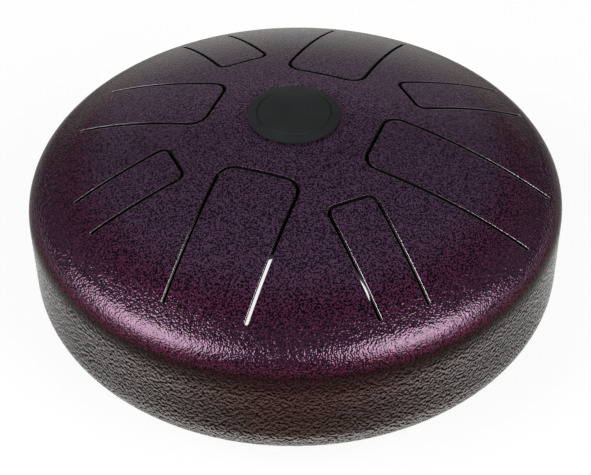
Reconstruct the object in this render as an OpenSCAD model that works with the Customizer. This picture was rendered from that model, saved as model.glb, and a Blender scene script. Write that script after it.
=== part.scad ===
// Steel tongue drum with eight tongues.
// Two domed steel pressings of one shape are welded rim to rim halfway up the
// side wall. Eight U-shaped slots in the upper one each free a tongue, which
// stays joined to the shell at its outer end. A rubber plug fills the hole at the
// top of the crown. The lower shell has a round sound port edged with a rubber
// ring, and it stands on four rubber feet, each held by a screw, a washer and a
// nut square to the dished base, and each cut level with the table.
// The origin is where the feet meet the table, on the axis of the drum.
// +z points up and the front of the drum faces -y.

/* [Shells] */
// Outside diameter at the widest ring
drum_d = 304.8; // [250:0.2:360]
// Height of the two shells together, if their domes were closed
drum_h = 148.8; // [142:0.2:180]
// Rise of each shell's dome beyond the straight side wall
crown_rise = 54.4; // [46:0.2:60]
// Outside radius of the shoulder between dome and side wall
shoulder_r = 19.4; // [14:0.2:26]
// Thickness of the steel sheet
sheet_t = 2; // [1.2:0.1:2.6]
// Height of the joggle that centres the upper shell
joggle_h = 6; // [3:0.5:10]
// Clearance between parts that slide together
fit_gap = 0.15; // [0.05:0.05:0.4]

/* [Tongues] */
// Width of a wide tongue, between the middles of its slots
wide_tongue_w = 45.9; // [36:0.1:52]
// Width of a narrow tongue, between the middles of its slots
narrow_tongue_w = 27.8; // [20:0.2:34]
// Distance from the drum axis to the tip of a wide tongue
wide_tip_r = 47.2; // [42:0.2:56]
// Distance from the drum axis to the tip of a narrow tongue
narrow_tip_r = 70.8; // [62:0.2:80]
// Corner radius at the tip of a wide tongue
wide_corner_r = 9; // [4:0.5:12]
// Corner radius at the tip of a narrow tongue
narrow_corner_r = 5; // [3:0.5:8]
// Width of a slot
slot_w = 2.2; // [1.4:0.1:3]
// Turn of the first tongue from the front, clockwise seen from above
tongue_turn = 21; // [0:1:44]

/* [Centre plug] */
// Diameter of the cap
plug_d = 51.6; // [40:0.2:60]
// Height of the domed cap at its middle
plug_rise = 4.4; // [2.6:0.2:7]
// Thickness of the cap at its rim
plug_rim_t = 1.2; // [0.8:0.1:2]
// Diameter of the hole in the crown
plug_hole_d = 16; // [10:0.5:24]
// How far the barb reaches out under the crown
barb_reach = 1.5; // [0.8:0.1:2.5]
// Length of the barb below the crown
barb_h = 7; // [5:0.5:12]
// Distance from the plug axis to the moulded ring groove
plug_groove_r = 20.5; // [14:0.5:23]
// Radius of the round bottom of that groove
plug_groove_w = 0.5; // [0.3:0.1:0.8]

/* [Sound port] */
// Diameter of the port, at the outer face of the base
port_d = 94.6; // [80:0.2:100]
// Thickness of the rubber trim
trim_t = 2.2; // [1.2:0.1:2.6]
// Width of the trim over each face of the sheet
trim_cover = 4.5; // [3:0.5:6]

/* [Feet] */
// Height above the table at which the dished base would close
stand_h = 3; // [2:0.2:10]
// Distance from the drum axis to the middle of a foot, at the base
foot_pitch_r = 80; // [76:1:96]
// Diameter of a foot where it meets the base
foot_top_d = 25; // [21:0.5:28]
// Diameter of a foot near the table
foot_low_d = 21; // [19:0.5:24]
// Chamfer round the lower edge of a foot
foot_edge = 1.2; // [0.4:0.1:2]
// Diameter of the recess for the screw head
recess_d = 10; // [9:0.5:11]
// Depth of the recess for the screw head, along the screw
recess_depth = 5.2; // [4.8:0.1:6]
// Diameter of the steel insert moulded into a foot
insert_d = 15; // [12:0.5:17]
// Thickness of the steel insert
insert_t = 1; // [0.6:0.1:1.5]

/* [Fasteners] */
// Nominal diameter of the foot screws
screw_d = 4; // [3:0.5:5]
// Diameter of the screw head
head_d = 8; // [7:0.5:8.5]
// Height of the screw head
head_h = 2.4; // [1.6:0.1:2.8]
// Length of screw that stands above the nut
screw_end = 1.5; // [0.5:0.1:3]
// Width of the nut across its flats
nut_w = 7; // [6:0.5:9]
// Height of the nut
nut_h = 3.2; // [2:0.1:4]
// Diameter of the washer inside the drum
washer_d = 12; // [10:0.5:16]
// Thickness of that washer
washer_t = 1; // [0.6:0.1:1.6]

/* [Hidden] */

$fn = 64;
crown_fn = 96;
dome_fn = 240;
arc_fn = 40;
ring_fn = 48;
slot_fn = 16;
small_fn = 16;

// How far a cut runs past the face that it cuts
overrun = 1;

// Where the outer end of each tongue's slots lies, as shares of the drum's radius.
// The tongues go anticlockwise seen from above, wide and narrow by turns.
tongue_end_shares = [0.867, 0.887, 0.932, 0.917, 0.881, 0.889, 0.816, 0.831];
// How each tongue's tip distance and width compare with those named for its kind
tongue_tip_shares = [1.025, 1, 1.007, 1.007, 0.99, 0.995, 1, 1];
tongue_width_shares = [1, 1, 1, 1, 1, 1.06, 0.88, 1];

drum_r = drum_d / 2;
wall_h = drum_h - 2 * crown_rise;
low_ring_z = stand_h + crown_rise;
ring_z = low_ring_z + wall_h;
seam_z = low_ring_z + wall_h / 2;

// Each dome is a sphere that meets the shoulder's arc without a kink
shoulder_x = drum_r - shoulder_r;
crown_r = (pow(shoulder_x, 2) + pow(crown_rise, 2) - pow(shoulder_r, 2))
    / (2 * (crown_rise - shoulder_r));
crown_centre_z = ring_z + crown_rise - crown_r;
dish_centre_z = stand_h + crown_r;

joggle_out_r = drum_r - sheet_t - fit_gap;
joggle_in_r = joggle_out_r - sheet_t;
joggle_bend_h = 2.5 * sheet_t;

plug_r = plug_d / 2;
plug_hole_r = plug_hole_d / 2;
plug_seat_z = crown_z(plug_hole_r, 0);
plug_dome_drop = plug_rise - plug_rim_t;
plug_dome_r = (pow(plug_r, 2) + pow(plug_dome_drop, 2)) / (2 * plug_dome_drop);
plug_dome_z = plug_seat_z + plug_rise - plug_dome_r;
stem_r = plug_hole_r - fit_gap;
barb_r = plug_hole_r + barb_reach;
barb_top_z = crown_z(barb_r, sheet_t) - fit_gap;
barb_low_z = barb_top_z - barb_h;

// The trim lies along the chord of the base that its lips cover
port_r = port_d / 2;
port_angle = asin(port_r / crown_r);
trim_angle = asin((port_r + trim_cover / 2) / crown_r);
lip_bow = pow(trim_cover, 2) / (8 * crown_r);
lip_low = sheet_t / 2 + lip_bow;

// Each foot leans out, so that its axis is square to the base. Lengths along that
// axis are counted from the outer face of the base, inwards
foot_angle = asin(foot_pitch_r / crown_r);
foot_first_angle = -45;
foot_count = 4;
foot_length = (dish_centre_z - crown_r * cos(foot_angle)) / cos(foot_angle);
sole_r = foot_pitch_r + foot_length * sin(foot_angle);
insert_z = recess_depth - foot_length;
screw_play = 0.1 * screw_d;
screw_hole_r = (screw_d + screw_play) / 2;
washer_z = crown_r - sqrt(pow(crown_r - sheet_t, 2) - pow(washer_d / 2, 2));
nut_z = washer_z + washer_t;
screw_top_z = nut_z + nut_h + screw_end;
head_bevel = head_h / 4;
drive_w = head_d / 7;
drive_l = 0.6 * head_d;
drive_depth = head_h / 2;

// Height of the crown at radius r, measured at a depth below its outer face
function crown_z(r, depth) = crown_centre_z + sqrt(pow(crown_r - depth, 2) - r * r);

// A rectangle between two opposite corners
module rect(low, high) {
    polygon([low, [high.x, low.y], high, [low.x, high.y]]);
}

// A band one wall thick inside a circle
module round_band(outer_r, band_t) {
    difference() {
        circle(outer_r);
        circle(outer_r - band_t);
    }
}

// The quarter of its children that lies on the side given by two signs
module quarter(side_x, side_y, reach) {
    intersection() {
        children();
        rect([min(0, side_x * reach), min(0, side_y * reach)],
            [max(0, side_x * reach), max(0, side_y * reach)]);
    }
}

// Half of a disc, on the +x side
module half_disc(r) {
    intersection() {
        circle(r);
        rect([0, -r - overrun], [r + overrun, r + overrun]);
    }
}

// One half of a tongue's U-shaped slot, along +x with its tip near the origin
module slot_half(tongue_w, tip_r, end_r, corner_r) {
    leg_x = tip_r + corner_r;
    leg_y = tongue_w / 2;
    rect([leg_x, leg_y - slot_w / 2], [end_r, leg_y + slot_w / 2]);
    translate([end_r, leg_y]) half_disc(slot_w / 2, $fn = slot_fn);
    translate([leg_x, leg_y - corner_r]) quarter(-1, 1, 2 * corner_r)
        round_band(corner_r + slot_w / 2, slot_w, $fn = slot_fn);
    rect([tip_r - slot_w / 2, 0], [tip_r + slot_w / 2, leg_y - corner_r]);
}

module tongue_slot(i) {
    wide = i % 2 == 0;
    tongue_w = (wide ? wide_tongue_w : narrow_tongue_w) * tongue_width_shares[i];
    tip_r = (wide ? wide_tip_r : narrow_tip_r) * tongue_tip_shares[i];
    corner_r = wide ? wide_corner_r : narrow_corner_r;
    end_r = tongue_end_shares[i] * drum_r - slot_w / 2;
    translate([0, 0, ring_z]) linear_extrude(crown_rise + overrun) {
        slot_half(tongue_w, tip_r, end_r, corner_r);
        mirror([0, 1]) slot_half(tongue_w, tip_r, end_r, corner_r);
    }
}

// Half of a pressing, drawn from its widest ring. Dome and shoulder meet on the
// line through the centres of both arcs
module pressed_profile(wall) {
    dome_centre = [0, crown_rise - crown_r];
    shoulder_centre = [shoulder_x, 0];
    far = dome_centre + 2 * (shoulder_centre - dome_centre);
    intersection() {
        translate(dome_centre) round_band(crown_r, sheet_t, $fn = crown_fn);
        polygon([dome_centre, far, [0, far.y]]);
    }
    intersection() {
        translate(shoulder_centre) round_band(shoulder_r, sheet_t, $fn = arc_fn);
        polygon([shoulder_centre, far, [far.x, 0]]);
    }
    rect([drum_r - sheet_t, -wall], [drum_r, 0]);
}

module top_profile() {
    difference() {
        translate([0, ring_z]) pressed_profile(wall_h / 2);
        rect([0, ring_z], [plug_hole_r, ring_z + crown_rise + overrun]);
    }
}

module top_shell() {
    color([0.27, 0.19, 0.28]) difference() {
        rotate_extrude() top_profile();
        for (i = [0 : len(tongue_end_shares) - 1])
            rotate(-90 - tongue_turn + i * 360 / len(tongue_end_shares)) tongue_slot(i);
    }
}

// A frame at the edge of the port, at mid sheet, with +x outwards along the base
module at_port_edge() {
    mid_r = crown_r - sheet_t / 2;
    translate([mid_r * sin(port_angle), dish_centre_z - mid_r * cos(port_angle)])
        rotate(trim_angle) children();
}

// The joggle steps in by one sheet, so that the upper shell fits round it
module base_profile() {
    difference() {
        translate([0, low_ring_z]) mirror([0, 1])
            pressed_profile(wall_h / 2 - joggle_bend_h);
        at_port_edge() rect([-2 * port_r, -port_r], [0, port_r]);
    }
    polygon([
        [drum_r - sheet_t, seam_z - joggle_bend_h],
        [drum_r, seam_z - joggle_bend_h],
        [drum_r, seam_z],
        [joggle_out_r, seam_z],
        [joggle_out_r, seam_z + joggle_h],
        [joggle_in_r, seam_z + joggle_h],
        [joggle_in_r, seam_z - sheet_t / 2]
    ]);
}

module base_shell() {
    color([0.24, 0.17, 0.22]) difference() {
        rotate_extrude() base_profile();
        at_feet() translate([0, 0, -overrun])
            cylinder(h = sheet_t + 2 * overrun, r = screw_hole_r, $fn = small_fn);
    }
}

// The sphere of the cap is large enough to hold the stem and its barb too
module plug_profile() {
    difference() {
        intersection() {
            translate([0, plug_dome_z]) circle(plug_dome_r, $fn = dome_fn);
            polygon([
                [0, plug_seat_z + plug_rise + overrun],
                [plug_r, plug_seat_z + plug_rise + overrun],
                [plug_r, plug_seat_z],
                [stem_r, plug_seat_z],
                [stem_r, barb_top_z],
                [barb_r, barb_top_z],
                [barb_r, barb_top_z - barb_reach],
                [stem_r - barb_reach, barb_low_z],
                [0, barb_low_z]
            ]);
        }
        translate([plug_groove_r, plug_dome_z + sqrt(pow(plug_dome_r, 2) - pow(plug_groove_r, 2))])
            circle(plug_groove_w, $fn = slot_fn);
    }
}

module centre_plug() {
    color([0.2, 0.21, 0.21]) rotate_extrude($fn = ring_fn) plug_profile();
}

// The inner half of the trim, drawn in the frame at the edge of the port
module trim_half_profile() {
    rect([-trim_t, 0], [0, lip_low]);
    translate([0, lip_low]) quarter(-1, 1, 2 * trim_t) circle(trim_t);
    rect([0, lip_low], [trim_cover - trim_t / 2, lip_low + trim_t]);
    translate([trim_cover - trim_t / 2, lip_low + trim_t / 2]) half_disc(trim_t / 2);
}

module port_trim() {
    color([0.16, 0.16, 0.17]) rotate_extrude($fn = ring_fn) at_port_edge() {
        trim_half_profile($fn = small_fn);
        mirror([0, 1]) trim_half_profile($fn = small_fn);
    }
}

// A frame on the outer face of the base, on the axis of a foot, with +z inwards
module at_foot(i) {
    rotate(foot_first_angle + i * 360 / foot_count) translate([0, 0, dish_centre_z])
        rotate([0, -foot_angle, 0]) translate([0, 0, -crown_r]) children();
}

module at_feet() {
    for (i = [0 : foot_count - 1]) at_foot(i) children();
}

// The top of a foot follows the base, and its recess runs out through the sole
module foot_profile() {
    difference() {
        polygon([
            [screw_hole_r, overrun],
            [foot_top_d / 2, overrun],
            [foot_top_d / 2, 0],
            [foot_low_d / 2, -foot_length],
            [foot_low_d / 2, -foot_length - foot_low_d / 2],
            [recess_d / 2, -foot_length - foot_low_d / 2],
            [recess_d / 2, insert_z],
            [screw_hole_r, insert_z]
        ]);
        translate([0, crown_r]) circle(crown_r, $fn = dome_fn);
        rect([0, insert_z], [insert_d / 2, insert_z + insert_t]);
    }
}

// The cone round a foot cuts its sole level and chamfers the edge
module foot(i) {
    color([0.15, 0.15, 0.16]) intersection() {
        at_foot(i) rotate_extrude($fn = ring_fn / 2) foot_profile();
        rotate(foot_first_angle + i * 360 / foot_count) translate([sole_r, 0, 0])
            cylinder(h = 2 * foot_top_d, r1 = foot_low_d / 2 - foot_edge,
                r2 = foot_low_d / 2 - foot_edge + 2 * foot_top_d, $fn = ring_fn);
    }
}

module front_right_foot() {
    foot(0);
}

module rear_right_foot() {
    foot(1);
}

module rear_left_foot() {
    foot(2);
}

module front_left_foot() {
    foot(3);
}

// A flat ring, as for a washer
module ring(outer_d, hole_r, ring_t) {
    difference() {
        cylinder(h = ring_t, d = outer_d, $fn = ring_fn / 2);
        translate([0, 0, -overrun])
            cylinder(h = ring_t + 2 * overrun, r = hole_r, $fn = small_fn);
    }
}

module foot_inserts() {
    color([0.72, 0.73, 0.75]) at_feet() translate([0, 0, insert_z])
        ring(insert_d, screw_hole_r, insert_t);
}

module foot_screws() {
    color([0.72, 0.73, 0.75]) at_feet() difference() {
        rotate_extrude($fn = small_fn) polygon([
            [0, insert_z - head_h],
            [head_d / 2 - head_bevel, insert_z - head_h],
            [head_d / 2, insert_z - head_h + head_bevel],
            [head_d / 2, insert_z],
            [screw_d / 2, insert_z],
            [screw_d / 2, screw_top_z],
            [0, screw_top_z]
        ]);
        for (turn = [0, 90]) rotate(turn)
            translate([-drive_l / 2, -drive_w / 2, insert_z - head_h - overrun])
                cube([drive_l, drive_w, drive_depth + overrun]);
    }
}

module foot_washers() {
    color([0.72, 0.73, 0.75]) at_feet() translate([0, 0, washer_z])
        ring(washer_d, screw_hole_r, washer_t);
}

module foot_nuts() {
    color([0.72, 0.73, 0.75]) at_feet() translate([0, 0, nut_z]) difference() {
        cylinder(h = nut_h, d = nut_w / cos(30), $fn = 6);
        translate([0, 0, -overrun])
            cylinder(h = nut_h + 2 * overrun, d = screw_d, $fn = small_fn);
    }
}

top_shell();
base_shell();
centre_plug();
port_trim();
front_right_foot();
rear_right_foot();
rear_left_foot();
front_left_foot();
foot_inserts();
foot_screws();
foot_washers();
foot_nuts();
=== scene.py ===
import math
from collections import namedtuple

import bpy
from mathutils import Matrix, Vector


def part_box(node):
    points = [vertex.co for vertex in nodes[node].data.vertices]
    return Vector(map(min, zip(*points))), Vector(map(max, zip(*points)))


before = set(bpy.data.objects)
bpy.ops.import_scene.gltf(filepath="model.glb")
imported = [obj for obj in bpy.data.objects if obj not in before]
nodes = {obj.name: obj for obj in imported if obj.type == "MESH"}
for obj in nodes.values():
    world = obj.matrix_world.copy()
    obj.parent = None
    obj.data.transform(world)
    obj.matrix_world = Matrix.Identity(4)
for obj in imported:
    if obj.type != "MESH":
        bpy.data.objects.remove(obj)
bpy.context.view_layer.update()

scene = bpy.context.scene

# The upper shell ends halfway down the straight wall. The widest ring is the wall's upper end
WALL = 0.040
RING_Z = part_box("top_shell")[0][2] + WALL / 2


def srgb(r, g, b):
    """An sRGB colour of 0 to 255 as linear values."""
    out = []
    for v in (r, g, b):
        v /= 255.0
        out.append(v / 12.92 if v <= 0.04045 else ((v + 0.055) / 1.055) ** 2.4)
    return (*out, 1.0)


class Graph:
    """Short names for building a material's nodes."""

    def __init__(self, name):
        self.mat = bpy.data.materials.new(name)
        self.mat.use_nodes = True
        self.tree = self.mat.node_tree
        self.bsdf = next(n for n in self.tree.nodes if n.type == "BSDF_PRINCIPLED")
        self.coords = self.add("ShaderNodeTexCoord").outputs["Object"]

    def add(self, kind, **values):
        node = self.tree.nodes.new(kind)
        for key, value in values.items():
            setattr(node, key, value)
        return node

    def link(self, source, target):
        self.tree.links.new(source, target)

    def put(self, socket, value):
        if isinstance(value, bpy.types.NodeSocket):
            self.link(value, socket)
        else:
            socket.default_value = value

    def surface(self, **values):
        """Set or link inputs of the shader. An underscore stands for a space in a name."""
        for key, value in values.items():
            self.put(self.bsdf.inputs[key.replace("_", " ")], value)

    def noise(self, scale, detail=2.0, rough=0.5, vector=None):
        node = self.add("ShaderNodeTexNoise")
        self.link(vector or self.coords, node.inputs["Vector"])
        node.inputs["Scale"].default_value = scale
        node.inputs["Detail"].default_value = detail
        node.inputs["Roughness"].default_value = rough
        return node.outputs["Fac"]

    def stretch(self, scale, shift):
        node = self.add("ShaderNodeMapping")
        self.link(self.coords, node.inputs["Vector"])
        node.inputs["Scale"].default_value = scale
        node.inputs["Location"].default_value = shift
        return node.outputs["Vector"]

    def math(self, kind, a, b=0.0, clamp=False):
        node = self.add("ShaderNodeMath", operation=kind, use_clamp=clamp)
        self.put(node.inputs[0], a)
        self.put(node.inputs[1], b)
        return node.outputs[0]

    def dot(self, a, b):
        node = self.add("ShaderNodeVectorMath", operation="DOT_PRODUCT")
        self.link(a, node.inputs[0])
        self.link(b, node.inputs[1])
        return node.outputs["Value"]

    def z(self, vector):
        node = self.add("ShaderNodeSeparateXYZ")
        self.link(vector, node.inputs[0])
        return node.outputs["Z"]

    def span(self, value, lo, hi, out_lo=0.0, out_hi=1.0):
        """Goes from out_lo to out_hi while the value goes from lo to hi."""
        node = self.add("ShaderNodeMapRange")
        self.link(value, node.inputs["Value"])
        for key, v in (("From Min", lo), ("From Max", hi), ("To Min", out_lo), ("To Max", out_hi)):
            self.put(node.inputs[key], v)
        return node.outputs["Result"]

    def blend(self, factor, a, b):
        """Goes from a to b while the factor goes from 0 to 1."""
        return self.span(factor, 0, 1, a, b)

    def rise(self, lo, hi, out_lo=0.0, out_hi=1.0):
        """Goes from out_lo to out_hi between two heights over the widest ring."""
        return self.span(self.z(self.coords), RING_Z + lo, RING_Z + hi, out_lo, out_hi)

    def ramp(self, bands, field):
        """One field of the bands, which run into each other by height over the widest ring."""
        lo, hi = bands[0].height, bands[-1].height
        node = self.add("ShaderNodeValToRGB")
        self.link(self.rise(lo, hi), node.inputs["Fac"])
        stops = node.color_ramp.elements
        # A new ramp has two stops
        for _ in bands[2:]:
            stops.new(1.0)
        for stop, band in zip(stops, bands):
            value = getattr(band, field)
            stop.position = (band.height - lo) / (hi - lo)
            stop.color = value if isinstance(value, tuple) else (value, value, value, 1.0)
        return node.outputs["Color"]

    def mix(self, factor, a, b):
        node = self.add("ShaderNodeMix", data_type="RGBA")
        self.put(node.inputs["Factor"], factor)
        self.put([s for s in node.inputs if s.name == "A" and s.type == "RGBA"][0], a)
        self.put([s for s in node.inputs if s.name == "B" and s.type == "RGBA"][0], b)
        return [s for s in node.outputs if s.type == "RGBA"][0]

    def bump(self, height, distance, strength=1.0, normal=None):
        node = self.add("ShaderNodeBump")
        self.link(height, node.inputs["Height"])
        node.inputs["Distance"].default_value = distance
        self.put(node.inputs["Strength"], strength)
        if normal:
            self.link(normal, node.inputs["Normal"])
        return node.outputs["Normal"]


# The paint by height over the widest ring, with painted light in it. The side wall is brown, a painted
# reflection of a warm floor, with lighter and darker rows, and it is lightest near its foot, a painted
# reflection of the floor there. The dark band at the ring is painted shade. The shoulder is reddish, with
# less contrast where the lamps' highlight falls, and the crown purple. Gloss is how much of its clear coat
# a band can show
Band = namedtuple("Band", "height dark light metal gloss coat_ior")
PAINT_AND_PAINTED_LIGHT = (
    Band(-0.062, srgb(8, 3, 3), srgb(84, 58, 54), 0.80, 0.60, 1.5),
    # The wall's foot, lightest: a painted reflection of the floor
    Band(-0.054, srgb(8, 3, 3), srgb(112, 86, 80), 0.80, 1.00, 2.6),
    Band(-0.044, srgb(8, 3, 3), srgb(112, 86, 80), 0.80, 1.00, 2.4),
    # The brown wall: a painted reflection of a warm floor
    Band(-0.037, srgb(0, 0, 0), srgb(84, 53, 49), 0.80, 0.80, 1.6),
    Band(-0.026, srgb(0, 0, 0), srgb(80, 50, 47), 0.80, 0.65, 1.55),
    Band(-0.012, srgb(0, 0, 0), srgb(94, 58, 55), 0.80, 1.00, 1.64),
    # The dark band at the ring: painted shade
    Band(-0.003, srgb(3, 0, 1), srgb(62, 24, 28), 0.60, 0.28, 1.35),
    Band(0.003, srgb(6, 1, 2), srgb(50, 14, 24), 0.40, 0.10, 1.3),
    Band(0.008, srgb(12, 0, 6), srgb(98, 30, 64), 0.70, 0.22, 1.6),
    Band(0.013, srgb(56, 20, 46), srgb(94, 42, 84), 0.75, 0.90, 1.7),
    Band(0.019, srgb(40, 8, 28), srgb(104, 46, 90), 0.75, 0.90, 1.7),
    Band(0.026, srgb(4, 0, 1), srgb(122, 56, 98), 0.75, 0.50, 1.5),
    Band(0.034, srgb(46, 26, 46), srgb(120, 86, 122), 0.75, 0.35, 1.5),
)
# Near black on the slots' cut walls: painted shade inside the slots
SLOT_SHADE_WALL = srgb(18, 12, 16)
# Bright steel on the slots' edges: partly wear, partly a painted glint
BARE_GLINT_STEEL = srgb(205, 192, 202)

# Heights over the widest ring, in metres, between which one thing gives way to another
SHOULDER_TO_WALL = (0.004, -0.004)
SLOTS_BEGIN = (0.013, 0.014)
RUBBING_AND_GLINTS_BEGIN = (0.010, 0.012)
RUBBING_AND_GLINTS_FADE = (0.043, 0.034)
PEEL_FADES = (0.027, 0.017)
CROWN_BEGINS = (0.020, 0.036)

# Scale of the noise per metre and its relief in metres, for the orange peel's two sizes and for the
# wall's wrinkles
FINE_SCALE, FINE_RELIEF = 1130, 0.00023
SOFT_SCALE, SOFT_RELIEF = 560, 0.0003
WRINKLE_SCALE, WRINKLE_RELIEF = (620, 620, 560), 0.0014
# The share of its orange peel that the crown keeps
CROWN_PEEL = 0.45
# Most values of a noise lie in this range
NOISE_RANGE = (0.3, 0.7)

# Specks and flanks turn from dark to light between these values. Flanks, painted lighter where they face
# down as a painted reflection of the floor, make this share of the wall's tone, and the lower flanks are
# where the wrinkles' noise grows over this step upwards
SPECK_EDGE = (0.45, 0.56)
FLANK_EDGE = (-0.035, 0.05)
FLANK_SHARE = 0.75
FLANK_STEP = (0, 0, 0.3)

# A face passes into a slot's cut wall as its normal's rise falls through these values, and an edge
# into a rubbed one, bare steel that is partly wear and partly a painted glint, as the cosine between its
# rounded and its true normal does. Near the plug an edge keeps this share of its rubbing and glint
UPRIGHT = (0.4, 0.3)
EDGE_TURN = (0.94, 0.84)
EDGE_RADIUS = 0.0006
LEAST_RUBBING_AND_GLINT = 0.08

# Roughness of the paint, of bare steel, and of the coat squarely and at a slant
PAINT_ROUGHNESS = (0.16, 0.21)
STEEL_ROUGHNESS = 0.28
COAT_ROUGHNESS = (0.06, 0.2)

# How slanted a surface is seen where its coat changes, 0 squarely and 1 at the outline
CROWN_SLANT = (0.30, 0.55)
WALL_SLANT = (0.31, 0.56)
DULLING_SLANT = (0.5, 0.7)
# How much of the coat shows: at a slant on the shoulder and on the crown, on the wall squarely and at
# a slant, on dark and on light tones of the wall, and on cut walls and bare steel
SLANTED_COAT = (0.12, 0.9)
WALL_COAT = (0.03, 1.4)
WALL_TONE, TONE_COAT = (0.2, 0.9), (0.0, 2.0)
CUT_AND_GLINT_COAT = 0.1


def wrinkles(g, shift=(0, 0, 0)):
    return g.noise(1, rough=0.4, vector=g.stretch(WRINKLE_SCALE, shift))


def speck_and_reflection_tone(g, fine, wrinkled, on_wall):
    """Dark and light specks, and on the wall wrinkles with a painted reflection that makes them lighter on
    their lower flanks.
    """
    # Painted reflection: the wrinkles' lower flanks are made lighter
    lit_lower_flanks = g.span(g.math("SUBTRACT", wrinkles(g, FLANK_STEP), wrinkled), *FLANK_EDGE)
    specks = g.math("MULTIPLY", g.span(fine, *SPECK_EDGE), g.blend(on_wall, 1, 1 - FLANK_SHARE))
    return g.math("ADD", specks, g.math("MULTIPLY", lit_lower_flanks, g.blend(on_wall, 0, FLANK_SHARE)))


def slot_walls(g, true_normal):
    """1 on the slots' cut walls, which stand upright in the crown and get the slots' painted shade."""
    upright = g.span(g.math("ABSOLUTE", g.z(true_normal)), *UPRIGHT)
    return g.math("MULTIPLY", upright, g.rise(*SLOTS_BEGIN))


def rubbed_and_glint_edges(g, true_normal, rounded):
    """1 where an edge of a slot is rubbed down to bare steel, partly wear and partly a painted glint that
    catches the lamps, and little of it near the plug.
    """
    reach = g.math("MULTIPLY", g.rise(*RUBBING_AND_GLINTS_FADE, LEAST_RUBBING_AND_GLINT, 1), g.rise(*RUBBING_AND_GLINTS_BEGIN))
    return g.math("MULTIPLY", g.span(g.dot(rounded, true_normal), *EDGE_TURN), reach)


def coat_shown(g, slant, tone, on_wall):
    """The shoulder shows its coat where it is seen squarely, and the crown at a slant too. The wall
    shows it at a slant, and most where its tone is light."""
    above = g.span(slant, *CROWN_SLANT, 1, g.rise(*CROWN_BEGINS, *SLANTED_COAT))
    below = g.math("MULTIPLY", g.span(slant, *WALL_SLANT, *WALL_COAT), g.span(tone, *WALL_TONE, *TONE_COAT))
    return g.math("MULTIPLY", g.ramp(PAINT_AND_PAINTED_LIGHT, "gloss"), g.blend(on_wall, above, below), clamp=True)


def shell_paint():
    """Metallic hammer paint under a clear gloss, with an orange peel of a millimetre or two, and with
    painted reflection and shade by height, on the wall's wrinkles and in the slots. Only the coat goes by
    the angle that it is seen at, and no colour does."""
    g = Graph("shell_paint")
    geometry = g.add("ShaderNodeNewGeometry").outputs
    bevel = g.add("ShaderNodeBevel", samples=8)
    bevel.inputs["Radius"].default_value = EDGE_RADIUS
    rounded = bevel.outputs["Normal"]
    angle = g.add("ShaderNodeLayerWeight")
    angle.inputs["Blend"].default_value = 0.5
    slant = angle.outputs["Facing"]
    on_wall = g.rise(*SHOULDER_TO_WALL)

    fine = g.noise(FINE_SCALE, detail=0.0)
    soft = g.noise(SOFT_SCALE, detail=1.0)
    wrinkled = wrinkles(g)
    tone = speck_and_reflection_tone(g, fine, wrinkled, on_wall)
    cut = slot_walls(g, geometry["True Normal"])
    bare = rubbed_and_glint_edges(g, geometry["True Normal"], rounded)

    # The paint's colour, with painted reflection and shade by height and the wrinkles' lit lower flanks
    paint = g.mix(tone, g.ramp(PAINT_AND_PAINTED_LIGHT, "dark"), g.ramp(PAINT_AND_PAINTED_LIGHT, "light"))
    metal = g.math("MULTIPLY", g.ramp(PAINT_AND_PAINTED_LIGHT, "metal"), g.blend(cut, 1, 0))
    g.surface(Base_Color=g.mix(bare, g.mix(cut, paint, SLOT_SHADE_WALL), BARE_GLINT_STEEL),
              Metallic=g.blend(bare, metal, 1),
              Roughness=g.blend(bare, g.span(soft, *NOISE_RANGE, *PAINT_ROUGHNESS), STEEL_ROUGHNESS),
              Specular_IOR_Level=0.1, Specular_Tint=(0.22, 0.19, 0.20, 1.0),
              Sheen_Weight=0.1, Sheen_Roughness=0.4, Sheen_Tint=(0.42, 0.62, 0.34, 1.0))

    coat = coat_shown(g, slant, tone, on_wall)
    g.surface(Coat_Weight=g.blend(g.math("MAXIMUM", cut, bare), coat, CUT_AND_GLINT_COAT),
              Coat_IOR=g.ramp(PAINT_AND_PAINTED_LIGHT, "coat_ior"),
              Coat_Roughness=g.span(slant, *DULLING_SLANT, *COAT_ROUGHNESS))

    strength = g.rise(*PEEL_FADES, CROWN_PEEL, 1)
    peel = g.bump(fine, FINE_RELIEF, strength, g.mix(on_wall, rounded, geometry["Normal"]))
    peel = g.bump(soft, SOFT_RELIEF, strength, peel)
    peel = g.bump(wrinkled, WRINKLE_RELIEF, on_wall, peel)
    g.surface(Normal=peel, Coat_Normal=peel)
    return g.mat


def rubber(name, colour, rough, pore_scale, pore_depth):
    """Matt rubber with fine pores, a little cloudy in tone."""
    g = Graph(name)
    pores = g.noise(pore_scale, detail=3.0, rough=0.6)
    cloud = g.span(g.noise(scale=60), *NOISE_RANGE)
    dark, pale = [(*(v * share for v in colour[:3]), 1.0) for share in (0.78, 1.25)]
    g.surface(Base_Color=g.mix(cloud, dark, pale),
              Roughness=g.span(pores, *NOISE_RANGE, rough - 0.06, rough + 0.08),
              Specular_IOR_Level=0.35, Normal=g.bump(pores, pore_depth))
    return g.mat


def zinc():
    """Bright zinc plate, a little cloudy, with a fine grain."""
    g = Graph("zinc_steel")
    cloud = g.noise(scale=300)
    grain = g.noise(scale=2500)
    g.surface(Base_Color=g.mix(cloud, srgb(168, 170, 174), srgb(206, 208, 212)), Metallic=1.0,
              Roughness=g.span(cloud, *NOISE_RANGE, 0.24, 0.4), Normal=g.bump(grain, distance=0.00002))
    return g.mat


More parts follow.
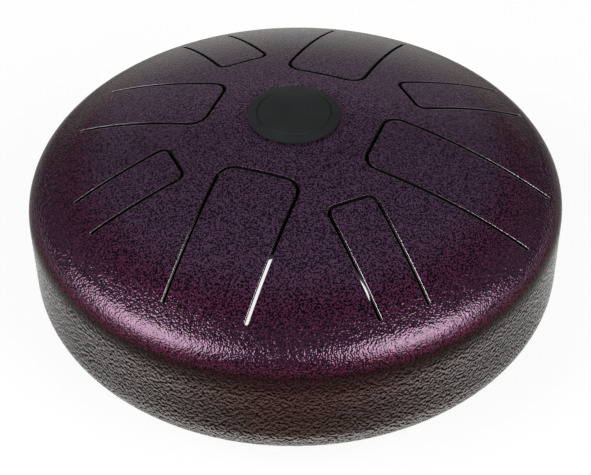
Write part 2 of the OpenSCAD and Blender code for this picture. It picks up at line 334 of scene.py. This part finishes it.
LOOKS = (
    (shell_paint(), ("top_shell", "base_shell")),
    (rubber("plug_rubber", srgb(29, 32, 33), rough=0.62, pore_scale=1800, pore_depth=0.00003),
     ("centre_plug",)),
    (rubber("trim_rubber", srgb(34, 34, 36), rough=0.6, pore_scale=1600, pore_depth=0.00003),
     ("port_trim",)),
    (rubber("foot_rubber", srgb(30, 30, 32), rough=0.66, pore_scale=1400, pore_depth=0.00004),
     ("front_right_foot", "rear_right_foot", "rear_left_foot", "front_left_foot")),
    (zinc(), ("foot_inserts", "foot_screws", "foot_washers", "foot_nuts")),
)
for material, names in LOOKS:
    for name in names:
        slots = nodes[name].data.materials
        slots.clear()
        slots.append(material)


def floor_paint(glow, shade, albedo):
    """White with a faint shadow to the camera and in reflections, pale grey to the light."""
    mat = bpy.data.materials.new("floor")
    mat.use_nodes = True
    add, link = mat.node_tree.nodes.new, mat.node_tree.links.new
    out = next(n for n in mat.node_tree.nodes if n.type == "OUTPUT_MATERIAL")
    to_light = next(n for n in mat.node_tree.nodes if n.type == "BSDF_PRINCIPLED")
    to_light.inputs["Base Color"].default_value = albedo
    to_light.inputs["Roughness"].default_value = 0.9
    to_light.inputs["Specular IOR Level"].default_value = 0.0
    white = add("ShaderNodeEmission")
    white.inputs["Strength"].default_value = glow
    shadow = add("ShaderNodeBsdfDiffuse")
    shadow.inputs["Color"].default_value = (shade, shade, shade, 1.0)
    to_eye = add("ShaderNodeAddShader")
    link(white.outputs[0], to_eye.inputs[0])
    link(shadow.outputs[0], to_eye.inputs[1])
    path = add("ShaderNodeLightPath")
    seen = path.outputs["Is Camera Ray"]
    for ray in ("Is Glossy Ray", "Is Transmission Ray"):
        either = add("ShaderNodeMath")
        either.operation = "MAXIMUM"
        link(seen, either.inputs[0])
        link(path.outputs[ray], either.inputs[1])
        seen = either.outputs[0]
    mix = add("ShaderNodeMixShader")
    link(seen, mix.inputs[0])
    link(to_light.outputs[0], mix.inputs[1])
    link(to_eye.outputs[0], mix.inputs[2])
    link(mix.outputs[0], out.inputs["Surface"])
    return mat


def floor(half):
    """A square floor at the level of the feet's soles."""
    mesh = bpy.data.meshes.new("floor")
    corners = [(-half, -half, 0), (half, -half, 0), (half, half, 0), (-half, half, 0)]
    mesh.from_pydata(corners, [], [(0, 1, 2, 3)])
    mesh.materials.append(floor_paint(glow=0.86, shade=0.2, albedo=(0.45, 0.43, 0.41, 1.0)))
    obj = bpy.data.objects.new("floor", mesh)
    scene.collection.objects.link(obj)


floor(half=30)

world = bpy.data.worlds.new("studio")
scene.world = world
world.use_nodes = True
sky = world.node_tree.nodes["Background"]
sky.inputs["Color"].default_value = (1, 1, 1, 1)
sky.inputs["Strength"].default_value = 0.12


def softbox(name, azimuth, elevation, distance, width, power, height=None):
    """A round or oval area lamp that faces the drum. Azimuth 0 is the front, 90 the right."""
    az, el = math.radians(azimuth), math.radians(elevation)
    away = Vector((math.sin(az) * math.cos(el), -math.cos(az) * math.cos(el), math.sin(el)))
    data = bpy.data.lights.new(name, "AREA")
    data.shape = "ELLIPSE"
    data.size = width
    data.size_y = height or width
    data.energy = power
    lamp = bpy.data.objects.new(name, data)
    scene.collection.objects.link(lamp)
    place = Matrix.Translation(Vector((0, 0, RING_Z)) + away * distance)
    lamp.matrix_world = place @ away.to_track_quat("Z", "Y").to_matrix().to_4x4()


softbox("left_box", azimuth=-60, elevation=31, distance=1.6, width=1.35, power=20)
softbox("right_box", azimuth=48, elevation=31, distance=1.6, width=1.35, power=20)
softbox("back_fill", azimuth=180, elevation=16, distance=2.0, width=2.4, power=2.2, height=1.2)

# The camera, solved from the outline of the drum in the photograph: how high it stands in front of
# the drum, how it is rolled, and the pixel and the scale of the widest ring's middle
PHOTO_WIDTH, PHOTO_HEIGHT = 591, 475
RING_PX = (295.206, 190.506)
PX_PER_METRE = 1734
ELEVATION = math.radians(39.648)
ROLL = math.radians(-0.832)
DISTANCE = 0.8913
SENSOR_MM = 36.0
NEAREST = 0.01


def turned(axis, angle, *vectors):
    """The vectors, turned about an axis."""
    rotation = Matrix.Rotation(angle, 3, axis)
    return [rotation @ v for v in vectors]


focal_px = PX_PER_METRE * DISTANCE
off_x, off_y = RING_PX[0] - PHOTO_WIDTH / 2, RING_PX[1] - PHOTO_HEIGHT / 2
level_x = off_x * math.cos(ROLL) + off_y * math.sin(ROLL)
level_y = off_y * math.cos(ROLL) - off_x * math.sin(ROLL)

# It aims at the ring's middle, turns sideways and up or down until that falls on its pixel, and rolls
back = Vector((0, -math.cos(ELEVATION), math.sin(ELEVATION)))
stand = Vector((0, 0, RING_Z)) + back * DISTANCE
right = Vector((1, 0, 0))
up = back.cross(right)
right, back = turned(up, math.atan2(level_x, focal_px), right, back)
back, up = turned(right, math.atan2(level_y, math.hypot(focal_px, level_x)), back, up)
right, up = turned(back, ROLL, right, up)

camera_data = bpy.data.cameras.new("camera")
camera_data.sensor_fit = "HORIZONTAL"
camera_data.sensor_width = SENSOR_MM
camera_data.lens = focal_px / PHOTO_WIDTH * SENSOR_MM
camera_data.clip_start = NEAREST
camera = bpy.data.objects.new("camera", camera_data)
scene.collection.objects.link(camera)
camera.matrix_world = Matrix.Translation(stand) @ Matrix((right, up, back)).transposed().to_4x4()
scene.camera = camera

scene.view_settings.view_transform = "Standard"
